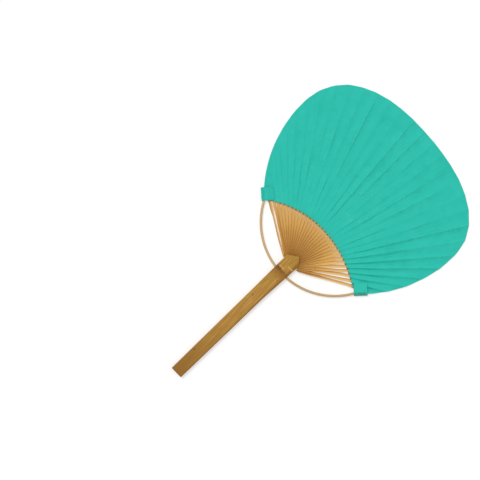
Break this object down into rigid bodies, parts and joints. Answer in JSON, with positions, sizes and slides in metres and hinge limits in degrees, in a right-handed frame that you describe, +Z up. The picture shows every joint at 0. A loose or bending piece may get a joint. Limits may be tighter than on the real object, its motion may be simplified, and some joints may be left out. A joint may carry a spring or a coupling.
{
  "type": "round paper hand fan",
  "caption": "Round hand fan of turquoise paper pasted on split bamboo ribs, with a flat handle made from the same slat and a thin bamboo bow.",
  "frame": {"origin": "on the flat underside of the handle, right below the centre that the ribs fan out from", "axes": "+Y along the handle towards the top of the leaf, +Z up through the fan's thickness to its front, +X across the leaf to the right as the front is seen"},
  "size_m": [0.2151, 0.3457, 0.0052],
  "materials": {
    "bamboo": "planed bamboo, satin",
    "bow_bamboo": "pale round bamboo, satin",
    "front_paper": "matt dyed paper",
    "back_paper": "matt dyed paper",
    "tab_paper": "matt dyed paper, doubled"
  },
  "bodies": {
    "root": {"bamboo_frame": "bamboo", "bow": "bow_bamboo", "front_leaf": "front_paper", "back_leaf": "back_paper", "corner_patch_left": "tab_paper", "corner_patch_right": "tab_paper"}
  },
  "joints": []
}
